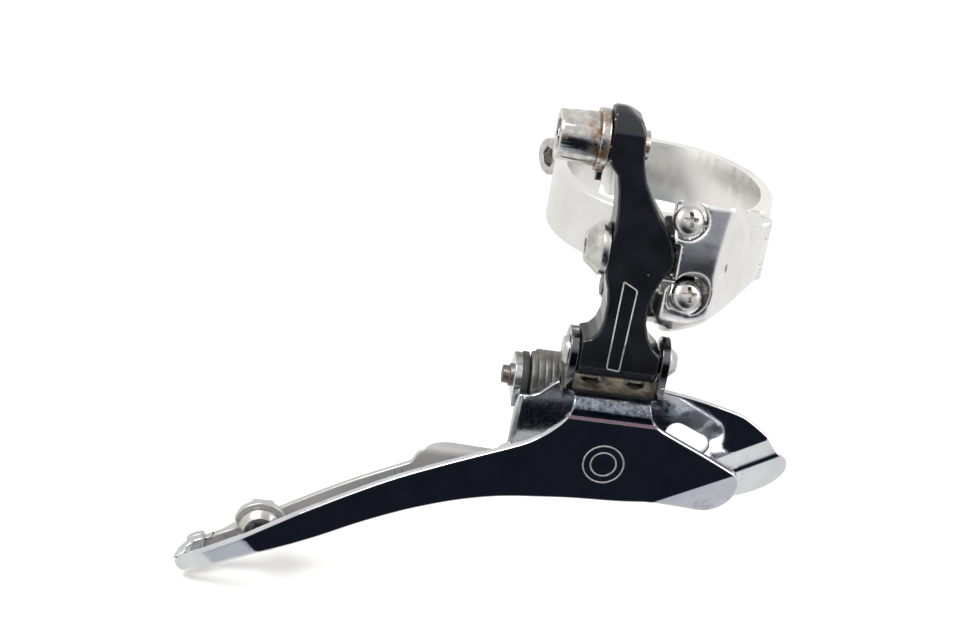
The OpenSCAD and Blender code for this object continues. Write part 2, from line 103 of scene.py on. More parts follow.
class Surface:
    """A node material on one Principled shader, with helpers for its textures."""

    def __init__(self, name):
        self.material = bpy.data.materials.new(name)
        self.material.use_nodes = True
        self.tree = self.material.node_tree
        self.shader = self.tree.nodes["Principled BSDF"]
        self.vector = self.tree.nodes.new("ShaderNodeTexCoord").outputs["Object"]
        self.bumped = None

    def link(self, source, target):
        self.tree.links.new(source, target)

    def set(self, **values):
        """Constants on the shader's own sockets."""
        for name, value in values.items():
            self.shader.inputs[name].default_value = value
        return self

    def stretched(self, stretch, turn=(0, 0, 0)):
        mapping = self.tree.nodes.new("ShaderNodeMapping")
        mapping.inputs["Scale"].default_value = stretch
        mapping.inputs["Rotation"].default_value = turn
        self.link(self.vector, mapping.inputs["Vector"])
        return mapping.outputs["Vector"]

    def noise(self, scale, detail=4.0, roughness=0.55, stretch=None):
        node = self.tree.nodes.new("ShaderNodeTexNoise")
        node.inputs["Scale"].default_value = scale
        node.inputs["Detail"].default_value = detail
        node.inputs["Roughness"].default_value = roughness
        self.link(self.stretched(stretch) if stretch else self.vector, node.inputs["Vector"])
        return node.outputs["Fac"]

    def spots(self, scale, stretch=None, turn=(0, 0, 0)):
        node = self.tree.nodes.new("ShaderNodeTexVoronoi")
        node.inputs["Scale"].default_value = scale
        self.link(self.stretched(stretch, turn) if stretch else self.vector, node.inputs["Vector"])
        return node.outputs["Distance"]

    def place(self, axis, low, high):
        """0 before low and 1 after high, in millimetres along one axis of the frame."""
        parts = self.tree.nodes.new("ShaderNodeSeparateXYZ")
        self.link(self.vector, parts.inputs["Vector"])
        node = self.tree.nodes.new("ShaderNodeMapRange")
        node.inputs["From Min"].default_value = low * MM
        node.inputs["From Max"].default_value = high * MM
        self.link(parts.outputs[axis], node.inputs["Value"])
        return node.outputs["Result"]

    def edges(self, low, high):
        """1 on worn outer edges, 0 on flat faces."""
        node = self.tree.nodes.new("ShaderNodeNewGeometry")
        return self.ramp(node.outputs["Pointiness"], (low, 0.0), (high, 1.0))

    def ramp(self, factor, *stops):
        node = self.tree.nodes.new("ShaderNodeValToRGB")
        ramp = node.color_ramp
        while len(ramp.elements) < len(stops):
            ramp.elements.new(0.5)
        for element, (place, value) in zip(ramp.elements, stops):
            element.position = place
            element.color = (*value, 1) if isinstance(value, tuple) else (value, value, value, 1)
        self.link(factor, node.inputs["Fac"])
        return node.outputs["Color"]

    def mix(self, factor, a, b, blend="MIX"):
        node = self.tree.nodes.new("ShaderNodeMix")
        node.data_type = "RGBA"
        node.blend_type = blend
        for socket, value in ((node.inputs["Factor"], factor), (node.inputs["A"], a), (node.inputs["B"], b)):
            if isinstance(value, bpy.types.NodeSocket):
                self.link(value, socket)
            elif isinstance(value, tuple):
                socket.default_value = (*value, 1)
            elif socket.type == "RGBA":
                socket.default_value = (value, value, value, 1)
            else:
                socket.default_value = value
        return node.outputs["Result"]

    def times(self, a, b):
        return self.mix(1.0, a, b, "MULTIPLY")

    def plus(self, a, b):
        return self.mix(1.0, a, b, "ADD")

    def tones(self, noise, dark, light):
        """Two colours or two roughnesses, blended by a noise."""
        return self.ramp(noise, (0.3, dark), (0.7, light))

    def color(self, source):
        self.link(source, self.shader.inputs["Base Color"])

    def rough(self, source):
        self.link(source, self.shader.inputs["Roughness"])

    def metal(self, source):
        self.link(source, self.shader.inputs["Metallic"])

    def bump(self, source, strength, distance=0.0001):
        """Adds relief on top of any relief already there."""
        node = self.tree.nodes.new("ShaderNodeBump")
        node.inputs["Strength"].default_value = strength
        node.inputs["Distance"].default_value = distance
        self.link(source, node.inputs["Height"])
        if self.bumped:
            self.link(self.bumped, node.inputs["Normal"])
        self.bumped = node.outputs["Normal"]
        self.link(self.bumped, self.shader.inputs["Normal"])


def scratches(s, scale, turn):
    """Thin broken lines, 1 on a scratch."""
    drawn = s.ramp(s.spots(scale, stretch=(0.04, 1, 1), turn=turn), (0.0, 1.0), (0.03, 0.0))
    broken = s.ramp(s.noise(scale * 0.4, detail=2), (0.52, 0.0), (0.58, 1.0))
    return s.times(drawn, broken)


def chrome():
    """Chromed plate with specks, a greasy bridge and a dulled tail. The bend's reddish line and speckled
    strip, the dark top, the black outer edge of the bridge and the tail's beige-grey are painted reflection.
    """
    s = Surface("cage_chrome").set(Metallic=1.0)
    outside = s.place("Y", -34.0, -35.0)

    clean = s.ramp(s.noise(220, detail=5), (0.3, (0.56, 0.57, 0.60)), (0.75, (0.68, 0.69, 0.71)))
    grime = s.ramp(s.noise(95, detail=6, roughness=0.7), (0.60, 0.0), (0.74, 1.0))
    used = s.mix(grime, clean, (0.40, 0.37, 0.33))

    # painted reflection along the bend to the bridge: a thin reddish line under the bend, then the bend's
    # speckled strip
    line = s.times(s.times(s.place("Z", -25.6, -25.2), s.place("Z", -24.8, -25.1)), outside)
    used = s.mix(line, used, (0.20, 0.09, 0.13))
    painted_reflection_speckle = s.noise(1500, detail=4, roughness=0.7)
    painted_reflection_speckle = s.ramp(painted_reflection_speckle, (0.36, (0.05, 0.065, 0.10)), (0.66, (0.36, 0.38, 0.42)))
    used = s.mix(s.times(s.place("Z", -24.9, -24.3), outside), used, painted_reflection_speckle)

    # the ears and the top are darker; on the top this is a painted dark reflection
    used = s.mix(s.place("Z", -21.7, -21.3), used, (0.15, 0.15, 0.16))
    # the inner plate's tail is dulled, and its beige-grey colour is a painted reflection of the outer plate's
    # inner side
    tail = s.times(s.place("Y", -32.0, -30.5), s.place("X", -21.5, -26.0))
    dulled_tail_and_painted_reflection = s.times(tail, s.ramp(s.noise(160, detail=5), (0.3, 0.45), (0.7, 0.75)))
    used = s.mix(dulled_tail_and_painted_reflection, used, (0.36, 0.34, 0.31))

    # grease on the bridge, and a black band at its outer edge that is a painted dark reflection
    bridge = s.times(s.place("Z", -23.6, -22.4), s.place("Z", -21.3, -21.6))
    grease_and_reflection_area = s.times(bridge, s.place("Y", -36.6, -35.4))
    grease_and_reflection_colour = s.noise(420, detail=5, roughness=0.65)
    grease_and_reflection_colour = s.ramp(grease_and_reflection_colour, (0.38, (0.05, 0.045, 0.04)), (0.66, (0.34, 0.29, 0.22)))
    grease_and_reflection_colour = s.mix(s.place("Y", -34.2, -35.0), grease_and_reflection_colour, (0.025, 0.027, 0.034))
    s.color(s.mix(grease_and_reflection_area, used, grease_and_reflection_colour))

    marks = s.plus(scratches(s, 260, (0, 0.5, 0)), scratches(s, 330, (0, -0.9, 0.2)))
    dull = s.plus(s.plus(dulled_tail_and_painted_reflection, line), s.times(marks, 0.35))
    s.metal(s.ramp(dull, (0.0, 1.0), (1.0, 0.35)))
    polish = s.ramp(s.noise(900, detail=3), (0.35, 0.05), (0.8, 0.15))
    s.rough(s.mix(s.plus(grease_and_reflection_area, dulled_tail_and_painted_reflection), s.mix(marks, polish, 0.45), 0.5))
    s.bump(s.noise(55, detail=2), 0.06, 0.0004)
    s.bump(s.noise(2600, detail=2, stretch=(0.2, 1, 1)), 0.04, 0.00005)
    s.bump(marks, -0.5, 0.00003)
    return s.material


def body_alloy():
    s = Surface("body_alloy").set(Metallic=1.0)
    s.color(s.tones(s.noise(140), (0.70, 0.695, 0.685), (0.80, 0.80, 0.795)))
    s.rough(s.ramp(s.noise(500), (0.3, 0.26), (0.75, 0.34)))
    s.bump(s.noise(900, detail=3), 0.05, 0.0001)
    return s.material


def band_alloy():
    s = Surface("band_alloy").set(Metallic=1.0)
    s.color(s.tones(s.noise(120), (0.80, 0.785, 0.75), (0.88, 0.87, 0.84)))
    s.rough(s.ramp(s.noise(400, stretch=(1, 1, 5)), (0.3, 0.28), (0.75, 0.42)))
    s.bump(s.noise(700, detail=3, stretch=(1, 1, 6)), 0.08, 0.0001)
    return s.material


def black_paint():
    """Gloss black with a few small chips and its edges rubbed to bare metal."""
    s = Surface("black_paint").set(IOR=1.5)
    paint = s.ramp(s.noise(180, detail=5), (0.3, (0.004, 0.004, 0.006)), (0.8, (0.012, 0.013, 0.017)))
    chips = s.ramp(s.spots(420), (0.10, 1.0), (0.13, 0.0))
    sparse = s.ramp(s.noise(150, detail=2), (0.60, 0.0), (0.64, 1.0))
    bare = s.plus(s.edges(0.57, 0.66), s.times(chips, sparse))
    s.color(s.mix(bare, paint, (0.55, 0.55, 0.56)))
    s.metal(bare)
    s.rough(s.mix(bare, s.ramp(s.noise(700), (0.3, 0.12), (0.75, 0.24)), 0.3))
    s.bump(s.noise(1500, detail=3), 0.05, 0.00005)
    return s.material


def steel(name, low, high, rough_low, rough_high):
    s = Surface(name).set(Metallic=1.0)
    s.color(s.tones(s.noise(500, detail=5), low, high))
    s.rough(s.ramp(s.noise(1500), (0.3, rough_low), (0.75, rough_high)))
    s.bump(s.noise(2500, detail=3), 0.08, 0.00005)
    return s.material


def anchor_steel():
    """Plated steel with rust in patches, thicker where the washer meets the arm."""
    s = Surface("anchor_steel").set(Metallic=1.0)
    patches = s.ramp(s.noise(330, detail=6, roughness=0.7), (0.56, 0.0), (0.66, 1.0))
    near_arm = s.ramp(s.noise(500, detail=5, roughness=0.7), (0.44, 0.0), (0.56, 0.8))
    seat = s.times(s.place("X", -20.5, -18.6), s.place("Y", -27, -32))
    rust = s.plus(patches, s.times(near_arm, seat))
    s.color(s.mix(rust, s.tones(s.noise(800), (0.42, 0.40, 0.38), (0.66, 0.65, 0.63)), (0.20, 0.10, 0.045)))
    s.rough(s.mix(rust, (0.12, 0.12, 0.12), (0.6, 0.6, 0.6)))
    s.bump(s.noise(1200), 0.12, 0.0001)
    return s.material


def bush_plastic():
    s = Surface("bush")
    s.color(s.tones(s.noise(400), (0.015, 0.015, 0.015), (0.04, 0.04, 0.04)))
    s.rough(s.ramp(s.noise(900, detail=3), (0.3, 0.45), (0.75, 0.65)))
    return s.material


MATERIALS = {
    "body_alloy": body_alloy(),
    "band_alloy": band_alloy(),
    "black_paint": black_paint(),
    "cage_chrome": chrome(),
    "steel": steel("steel", (0.40, 0.385, 0.37), (0.66, 0.645, 0.62), 0.18, 0.36),
    "pin_steel": steel("pin_steel", (0.09, 0.08, 0.07), (0.24, 0.225, 0.20), 0.3, 0.5),
    "anchor_steel": anchor_steel(),
    "spring_steel": steel("spring_steel", (0.11, 0.11, 0.105), (0.24, 0.24, 0.23), 0.42, 0.6),
    "bush": bush_plastic(),
}


def mark_paint():
    """Thin pale print, used for the two marks."""
    s = Surface("mark_paint")
    s.color(s.ramp(s.noise(900), (0.3, (0.50, 0.50, 0.50)), (0.6, (0.78, 0.78, 0.77))))
    s.rough(s.ramp(s.noise(900, detail=3), (0.3, 0.35), (0.75, 0.55)))
    s.bump(s.noise(2000, detail=2), 0.05, 0.00003)
    return s.material


PAINT_MARK = mark_paint()


# ---- mesh tools ----


def add_object(name, data):
    piece = bpy.data.objects.new(name, data)
    bpy.context.scene.collection.objects.link(piece)
    return piece


def finish_piece(name, mesh, node, shown=None):
    """Turns a bmesh in millimetres into a shaded piece that stands for the CAD node."""
    bmesh.ops.scale(mesh, vec=(MM, MM, MM), verts=mesh.verts)
    bmesh.ops.recalc_face_normals(mesh, faces=mesh.faces)
    data = bpy.data.meshes.new(name)
    mesh.to_mesh(data)
    mesh.free()
    for polygon in data.polygons:
        polygon.use_smooth = True
    data.materials.append(shown or MATERIALS[slot_of_node[node]])
    piece = add_object(name, data)
    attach(piece, body_of_node[node])
    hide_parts(node)
    return piece


def weigh_normals(piece):
    """Shades flat faces flat, and lets rounded rims carry the turn between them."""
    modifier = piece.modifiers.new("normals", "WEIGHTED_NORMAL")
    modifier.mode = "FACE_AREA"
    modifier.weight = 100
    modifier.keep_sharp = False


def refined(node, width):
    """The node's own shape with its sharp edges rounded."""
    mesh = bmesh.new()
    mesh.from_mesh(nodes[node].data)
    bmesh.ops.remove_doubles(mesh, verts=mesh.verts, dist=2e-6)
    flat = math.radians(0.6)
    bmesh.ops.dissolve_limit(
        mesh, angle_limit=flat, verts=mesh.verts, edges=mesh.edges, use_dissolve_boundaries=False
    )
    bmesh.ops.scale(mesh, vec=(1 / MM,) * 3, verts=mesh.verts)
    piece = finish_piece(node + "_fine", mesh, node)
    bevel = piece.modifiers.new("edges", "BEVEL")
    bevel.width = width * MM
    bevel.segments = 2
    bevel.limit_method = "ANGLE"
    bevel.angle_limit = math.radians(30)
    bevel.use_clamp_overlap = True
    bevel.harden_normals = True
    return piece


def spline(points, step=0.8):
    """A smooth curve through the points, which is straight where there are only two."""
    if len(points) == 2:
        count = max(1, round(math.dist(*points) / (2 * step)))
        a, b = points
        return [tuple(p + (q - p) * i / count for p, q in zip(a, b)) for i in range(count + 1)]
    first = [2 * p - q for p, q in zip(points[0], points[1])]
    last = [2 * p - q for p, q in zip(points[-1], points[-2])]
    line = [first, *points, last]

    def between(t, p, q, r, s):
        return 0.5 * (
            2 * q + (r - p) * t + (2 * p - 5 * q + 4 * r - s) * t * t + (3 * q - p - 3 * r + s) * t**3
        )

    out = []
    for a, b, c, d in zip(line, line[1:], line[2:], line[3:]):
        count = max(2, round(math.dist(b, c) / step))
        out += [tuple(between(i / count, *four) for four in zip(a, b, c, d)) for i in range(count)]
    return out + [tuple(points[-1])]


def walk(loop, start, way, distance):
    """Index of the point about a distance along the closed loop from start."""
    walked, i = 0.0, start
    while walked < distance:
        j = (i + way) % len(loop)
        walked += math.dist(loop[i], loop[j])
        i = j
    return i


def outline(*runs):
    """Closed outline from runs, each (bend, points). A run starts at a corner rounded by about bend,
    and is a smooth curve through its points to the first point of the next run."""
    loop, corners = [], []
    for (bend, points), (_, following) in zip(runs, runs[1:] + runs[:1]):
        corners.append((len(loop), bend))
        loop += spline([*points, following[0]])[:-1]
    instead = {}
    steps = 7
    for corner, bend in corners:
        if bend <= 0:
            continue
        start, stop = walk(loop, corner, -1, bend), walk(loop, corner, 1, bend)
        a, b, c = loop[start], loop[corner], loop[stop]
        arc = [
            tuple((1 - t) ** 2 * p + 2 * t * (1 - t) * q + t * t * r for p, q, r in zip(a, b, c))
            for t in (i / steps for i in range(steps + 1))
        ]
        i = start
        instead[i] = arc
        while i != stop:
            i = (i + 1) % len(loop)
            instead[i] = []
    out = []
    for i, point in enumerate(loop):
        out += instead.get(i, [point])
    return out


def circle(x, z, r, count=32):
    angles = [2 * math.pi * i / count for i in range(count)]
    return [(x + r * math.cos(a), z + r * math.sin(a)) for a in angles]


def slot_loop(a, b, r, count=10):
    """Outline of a round-ended slot from a to b."""
    along = math.atan2(b[1] - a[1], b[0] - a[0])
    out = []
    for centre, start in ((b, along - math.pi / 2), (a, along + math.pi / 2)):
        for i in range(count + 1):
            angle = start + math.pi * i / count
            out.append((centre[0] + r * math.cos(angle), centre[1] + r * math.sin(angle)))
    return out


def area(loop):
    return sum(a[0] * b[1] - b[0] * a[1] for a, b in zip(loop, loop[1:] + loop[:1])) / 2


def inset(loop, distance):
    """The loop moved to its left by distance."""
    out = []
    for a, b, c in zip(loop[-1:] + loop[:-1], loop, loop[1:] + loop[:1]):
        d0 = Vector((b[0] - a[0], b[1] - a[1])).normalized()
        d1 = Vector((c[0] - b[0], c[1] - b[1])).normalized()
        n = Vector((-d0.y - d1.y, d0.x + d1.x))
        if n.length < 1e-6:
            n = Vector((-d0.y, d0.x))
        n.normalize()
        stretch = 1 / max(0.6, n.dot(Vector((-d0.y, d0.x))))
        out.append((b[0] + n.x * distance * stretch, b[1] + n.y * distance * stretch))
    return out


def skin(mesh, a, b):
    """A band of faces between two closed rings of vertices."""
    for i in range(len(a)):
        j = (i + 1) % len(a)
        mesh.faces.new((a[i], a[j], b[j], b[i]))


def sheet(outer, holes, thickness, edge, place, cuts=(), rounds=4):
    """A plate: its outline in (u, v), rims rounded by edge, cut along lines, bent by place(u, depth, v)."""
    mesh = bmesh.new()
    loops = [outer if area(outer) > 0 else outer[::-1]]
    loops += [hole if area(hole) < 0 else hole[::-1] for hole in holes]
    turns = [math.pi / 2 * k / rounds for k in range(rounds + 1)]
    flat_rim = 0.15
    profile = [(edge + flat_rim, 0.0)]
    profile += [(edge * (1 - math.sin(a)), edge * (1 - math.cos(a))) for a in turns]
    profile += [(d, thickness - h) for d, h in reversed(profile)]
    caps = ([], [])
    for loop in loops:
        rings = [[mesh.verts.new((u, h, v)) for u, v in inset(loop, d)] for d, h in profile]
        for low, high in zip(rings, rings[1:]):
            skin(mesh, low, high)
        for ring, cap in ((rings[0], caps[0]), (rings[-1], caps[1])):
            cap += [mesh.edges.get(pair) for pair in zip(ring, ring[1:] + ring[:1])]
    for cap in caps:
        bmesh.ops.triangle_fill(mesh, edges=cap, use_beauty=True, use_dissolve=False)
    for point, normal in cuts:
        bmesh.ops.bisect_plane(
            mesh,
            geom=[*mesh.verts, *mesh.edges, *mesh.faces],
            plane_co=(point[0], 0, point[1]),
            plane_no=(normal[0], 0, normal[1]),
            dist=1e-4,
        )
    for vert in mesh.verts:
        vert.co = place(vert.co.x, vert.co.y, vert.co.z)
    return mesh


def cuts_at(places, way=(1, 0), start=(0, 0)):
    """Cut lines across a direction, at distances along it from start."""
    return [((start[0] + way[0] * d, start[1] + way[1] * d), tuple(way)) for d in places]


def spread(start, stop, count):
    """Even steps from start to stop, both included."""
    return [start + (stop - start) * i / count for i in range(count + 1)]


def across(crease):
    """Direction square to a line given by two points, to its right."""
    way = (crease[1] - crease[0]).normalized()
    return Vector((way.y, -way.x))


def fold(d, h, angle, radius):
    """Bends a sheet at d = 0: (distance past the line, depth) to (along, inboard)."""
    if d <= 0:
        return d, h
    arc = radius * angle
    turn = min(d, arc) / radius
    along = (radius - h) * math.sin(turn)
    inboard = radius - (radius - h) * math.cos(turn)
    rest = max(0.0, d - arc)
    return along + rest * math.cos(turn), inboard + rest * math.sin(turn)


def join(meshes):
    """One bmesh from several."""
    whole = bmesh.new()
    for part in meshes:
        data = bpy.data.meshes.new("part")
        part.to_mesh(data)
        part.free()
        whole.from_mesh(data)
        bpy.data.meshes.remove(data)
    return whole


# ---- smooth solids from distances ----


class Grid:
    """Points of a regular grid. A solid is an array of each point's distance to it, negative inside."""

    def __init__(self, low, high, step):
        self.low, self.step = np.array(low, float), step
        counts = [int(math.ceil((b - a) / step)) + 1 for a, b in zip(low, high)]
        axes = [a + step * np.arange(n, dtype=np.float32) for a, n in zip(low, counts)]
        self.x, self.y, self.z = axes[0][:, None, None], axes[1][None, :, None], axes[2][None, None, :]

    def prism(self, axis, loop, edge=0.0):
        """Endless prism along one axis, its outline given in the other two, with rounded outer corners."""
        u, v = {"x": (self.y, self.z), "y": (self.x, self.z), "z": (self.x, self.y)}[axis]
        loop = loop if area(loop) > 0 else loop[::-1]
        if edge:
            loop = inset(loop, edge)
        near = np.full(np.broadcast(u, v).shape, 1e9, np.float32)
        inside = np.zeros(near.shape, bool)
        for (ax, ay), (bx, by) in zip(loop, loop[1:] + loop[:1]):
            ex, ey = bx - ax, by - ay
            t = np.clip(((u - ax) * ex + (v - ay) * ey) / (ex * ex + ey * ey + 1e-12), 0, 1)
            near = np.minimum(near, (u - ax - t * ex) ** 2 + (v - ay - t * ey) ** 2)
            if ay != by:
                inside ^= ((ay > v) != (by > v)) & (u < ex * (v - ay) / ey + ax)
        return np.where(inside, -1, 1) * np.sqrt(near) - edge

    def rod(self, a, b, r, edge=0.0):
        """Cylinder from a to b."""
        a = np.array(a, np.float32)
        way = np.array(b, np.float32) - a
        length = float(np.linalg.norm(way))
        way /= length
        px, py, pz = self.x - a[0], self.y - a[1], self.z - a[2]
        along = px * way[0] + py * way[1] + pz * way[2]
        out = np.sqrt(np.maximum(px * px + py * py + pz * pz - along * along, 0)) - r
        return both(out, np.maximum(-along, along - length), edge)

    def slab(self, low, high, edge=0.0):
        """Box from corner to corner."""
        spans = [np.maximum(a - p, p - b) for p, a, b in zip((self.x, self.y, self.z), low, high)]
        return both(both(spans[0], spans[1], edge), spans[2], edge)

    def mesh(self, solid):
        """The surface of a solid as a bmesh, lightly smoothed."""
        solid = np.ascontiguousarray(np.broadcast_to(solid, (self.x.size, self.y.size, self.z.size)))
        shape = tuple(n - 1 for n in solid.shape)
        corners = [(i, j, k) for i in (0, 1) for j in (0, 1) for k in (0, 1)]
        low = np.full(shape, 1e9, np.float32)
        high = -low
        for corner in corners:
            part = solid[tuple(slice(c, c + n) for c, n in zip(corner, shape))]
            low, high = np.minimum(low, part), np.maximum(high, part)
        cells = np.argwhere((low < 0) & (high >= 0))
        total, count = np.zeros((len(cells), 3)), np.zeros(len(cells))
        for a in corners:
            for axis in range(3):
                if a[axis]:
                    continue
                b = tuple(c + (i == axis) for i, c in enumerate(a))
                fa, fb = (solid[tuple((cells + corner).T)] for corner in (a, b))
                cross = (fa < 0) != (fb < 0)
                t = np.where(cross, fa / np.where(cross, fa - fb, 1), 0)
                point = np.array(a, float)[None, :] + t[:, None] * np.eye(3)[axis][None, :]
                total += np.where(cross[:, None], point, 0)
                count += cross
        points = (cells + total / count[:, None]) * self.step + self.low
        number = np.full(shape, -1, np.int32)
        number[tuple(cells.T)] = np.arange(len(cells))
        faces = []
        for axis in range(3):
            ahead = [slice(None)] * 3
            behind = [slice(None)] * 3
            ahead[axis], behind[axis] = slice(1, None), slice(None, -1)
            a, b = solid[tuple(behind)] < 0, solid[tuple(ahead)] < 0
            side = [i for i in range(3) if i != axis]
            for flip, where in ((False, a & ~b), (True, ~a & b)):
                spots = np.argwhere(where)
                ring = []
                for du, dv in ((-1, -1), (0, -1), (0, 0), (-1, 0)):
                    shift = np.zeros(3, int)
                    shift[side[0]], shift[side[1]] = du, dv
                    ring.append(number[tuple((spots + shift).T)])
                if flip != (axis == 1):
                    ring = ring[::-1]
                faces.append(np.stack(ring, axis=1))
        data = bpy.data.meshes.new("solid")
        data.from_pydata(points.tolist(), [], np.concatenate(faces).tolist())
        mesh = bmesh.new()
        mesh.from_mesh(data)
        bpy.data.meshes.remove(data)
        passes = 4
        for _ in range(passes):
            bmesh.ops.smooth_vert(
                mesh, verts=mesh.verts, factor=0.5, use_axis_x=True, use_axis_y=True, use_axis_z=True
            )
        return mesh


def both(a, b, edge=0.0):
    """What two solids share, with outer edges rounded."""
    if not edge:
        return np.maximum(a, b)
    corner = np.hypot(np.maximum(edge + a, 0), np.maximum(edge + b, 0))
    return np.minimum(-edge, np.maximum(a, b)) + corner


def either(a, b, fillet=0.0):
    """Two solids as one, with the corner between them filled."""
    if not fillet:
        return np.minimum(a, b)
    corner = np.hypot(np.maximum(fillet - a, 0), np.maximum(fillet - b, 0))
    return np.maximum(fillet, np.minimum(a, b)) - corner


def without(a, b, edge=0.0):
    return both(a, -b, edge)


# ---- outer cage plate ----

OUTER_Y = -38.5
INNER_Y = -28.0
OUTER_T = 1.5
BEND_Z = -24.8
BEND_R = 3.2
BEND_LENGTH = BEND_R * math.pi / 2
BRIDGE_DEPTH = 8.1
EAR_R = 4.3
EAR_FOOT_Z = -23.4
PIN_HOLE_R = 2.0
TAIL_HOLE_R = 1.5
TAIL_START = -58.0
TAIL_END = -87.0
NOSE_CREASE = (Vector((1.8, -39.6)), Vector((15.2, -32.3)))
NOSE_TURN = math.radians(17)
NOSE_BEND_R = 1.2

# the tail's top and bottom edges where it creases, turns inboard and ends behind the leg
TAIL_STATIONS = [
    (-58.0, (-58.0, OUTER_Y, -50.3), (-58.0, OUTER_Y, -56.3)),
    (-65.0, (-66.7, OUTER_Y, -56.1), (-63.4, OUTER_Y, -58.8)),
    (-72.0, (-73.4, -36.1, -61.3), (-70.6, -36.2, -63.5)),
    (-78.6, (-77.8, -33.4, -65.0), (-76.2, -33.8, -66.8)),
    (-80.6, (-78.0, -32.4, -64.6), (-77.2, -32.6, -67.0)),
    (-82.6, (-77.1, -30.7, -63.6), (-76.8, -30.7, -67.1)),
    (-84.6, (-75.5, -29.7, -62.3), (-75.3, -29.7, -66.8)),
    (-87.0, (-73.1, -29.5, -61.3), (-73.1, -29.5, -66.0)),
]


def station(u):
    """Top and bottom of the tail strip at u, which runs along the strip and round its end."""
    for (u0, top0, low0), (u1, top1, low1) in zip(TAIL_STATIONS, TAIL_STATIONS[1:]):
        if u >= u1 or u1 == TAIL_STATIONS[-1][0]:
            t = (u0 - u) / (u0 - u1)
            return Vector(top0).lerp(Vector(top1), t), Vector(low0).lerp(Vector(low1), t)


def softened_station(u, reach=0.35):
    pairs = [station(u + step) for step in (-reach, 0, reach)]
    return [(a + b * 2 + c) / 4 for a, b, c in zip(*pairs)]


def place_outer(u, h, v):
    """Bends a point of the flat outer plate round the tail, up to the bridge or at the nose's crease."""
    if u < TAIL_START - 0.01:
        top, low = softened_station(u)
        ahead_top, ahead_low = softened_station(u + 0.2)
        t = (v - low.z) / (top.z - low.z)
        here, ahead = low.lerp(top, t), ahead_low.lerp(ahead_top, t)
        inboard = (top - low).cross(ahead - here).normalized()
        return here + inboard * h
    if v > BEND_Z:
        along, inboard = fold(v - BEND_Z, h, math.pi / 2, BEND_R)
        return Vector((u, OUTER_Y + inboard, BEND_Z + along))
    away = across(NOSE_CREASE)
    d = (Vector((u, v)) - NOSE_CREASE[0]).dot(away)
    along, inboard = fold(d, h, NOSE_TURN, NOSE_BEND_R)
    shift = away * (along - d)
    return Vector((u + shift.x, OUTER_Y + inboard, v + shift.y))


def tail_edge(side):
    """The tail's top (side 0) or bottom (side 1) edge on the flat plate."""
    return [(u, pair[side][2]) for u, *pair in TAIL_STATIONS]


def ear(x0, x1, y, z, r, foot, low):
    """An upright ear across X with a round top at (y, z); foot is its front and back at the height low."""
    front, back = foot
    loop = [(y - r * math.cos(a), z + r * math.sin(a)) for a in spread(0, math.pi, 24)]
    loop = [(front, low), *loop, (back, low)]
    return sheet(loop, [circle(y, z, PIN_HOLE_R)], x1 - x0, 0.18, lambda u, h, v: Vector((x0 + h, u, v)))


def flat_at(y):
    """Places a sheet upright along X, its outboard face at y."""
    return lambda u, h, v: Vector((u, y + h, v))


def outer_cage_plate():
    top, low = tail_edge(0), tail_edge(1)
    bridge_v = BEND_Z + BEND_LENGTH + BRIDGE_DEPTH
    loop = outline(
        (0.7, [(17.0, -33.4)]),
        (1.2, [(16.4, -32.8), (9.7, -29.6), (5.2, -27.6)]),
        (0.5, [(1.6, -26.0), (0.2, -25.0), (-0.6, -23.6), (-1.0, -21.5)]),
        (0.0, [(-1.0, -20.6), (0.9, -19.2)]),
        (0.6, [(1.0, -18.6)]),
        (0.4, [(1.0, bridge_v)]),
        (0.4, [(-16.2, bridge_v)]),
        (0.6, [(-16.2, -18.6), (-16.1, -19.2)]),
        (0.0, [(-14.4, -20.6), (-14.45, -23.5), (-15.3, -25.8), (-17.2, -28.1), (-19.8, -30.3),
               (-22.4, -31.8), (-28, -34.3), (-35.3, -37.6), (-42.7, -41.2), (-50.2, -45.5)]),
        *[(0.0, [point]) for point in top],
        *[(0.0, [point]) for point in reversed(low[1:])],
        (0.0, [low[0], (-53.8, -54.2), (-47.4, -50.7), (-42.1, -48.1), (-37.2, -46.0), (-30.6, -43.7),
               (-23.9, -42.1), (-16.5, -41.2), (-11, -40.7), (-3.6, -40.3)]),
        (1.0, [(2.1, -39.7), (7.0, -40.5)]),
        (1.0, [(12.2, -41.4)]),
        (1.2, [(14.9, -40.2)]),
        (0.8, [(16.6, -37.8)]),
    )
    cuts = cuts_at(spread(TAIL_START, TAIL_END, 58))
    cuts += cuts_at(spread(BEND_Z, BEND_Z + BEND_LENGTH, 12), (0, 1))
    cuts += cuts_at(spread(0, 0.36, 4), across(NOSE_CREASE), NOSE_CREASE[0])
    plate = sheet(loop, [], OUTER_T, 0.32, place_outer, cuts)
    foot = (P2.y - 3.7, P2.y + 4.2)
    ears = [ear(x0, x1, P2.y, P2.z, EAR_R, foot, EAR_FOOT_Z) for x0, x1 in ((-16.2, -14.75), (-0.45, 1.0))]
    leg_loop = outline(
        (0.4, [(-76.2, -66.8), (-75.9, -62.9)]),
        (0.3, [(-75.5, -62.3), (-73.3, -61.4)]),
        (0.15, [(-72.8, -62.5)]),
        (0.3, [(-71.4, -61.4), (-67.6, -59.2)]),
        (0.5, [(TAIL.x - 4.9, TAIL.z + 1.0), (TAIL.x - 3.5, TAIL.z + 3.6), (TAIL.x, TAIL.z + 5.0),
               (TAIL.x + 3.6, TAIL.z + 3.5), (TAIL.x + 5.0, TAIL.z), (TAIL.x + 3.6, TAIL.z - 3.5),
               (TAIL.x, TAIL.z - 5.0)]),
        (1.0, [(-66.8, -63.6), (-71, -65.4), (-75, -67)]),
    )
    leg = sheet(leg_loop, [circle(TAIL.x, TAIL.z, TAIL_HOLE_R)], OUTER_T, 0.3, flat_at(INNER_Y - OUTER_T))
    piece = finish_piece("outer_plate", join([plate, *ears, leg]), "outer_cage_plate")
    weigh_normals(piece)
    return piece


# ---- inner cage plate ----

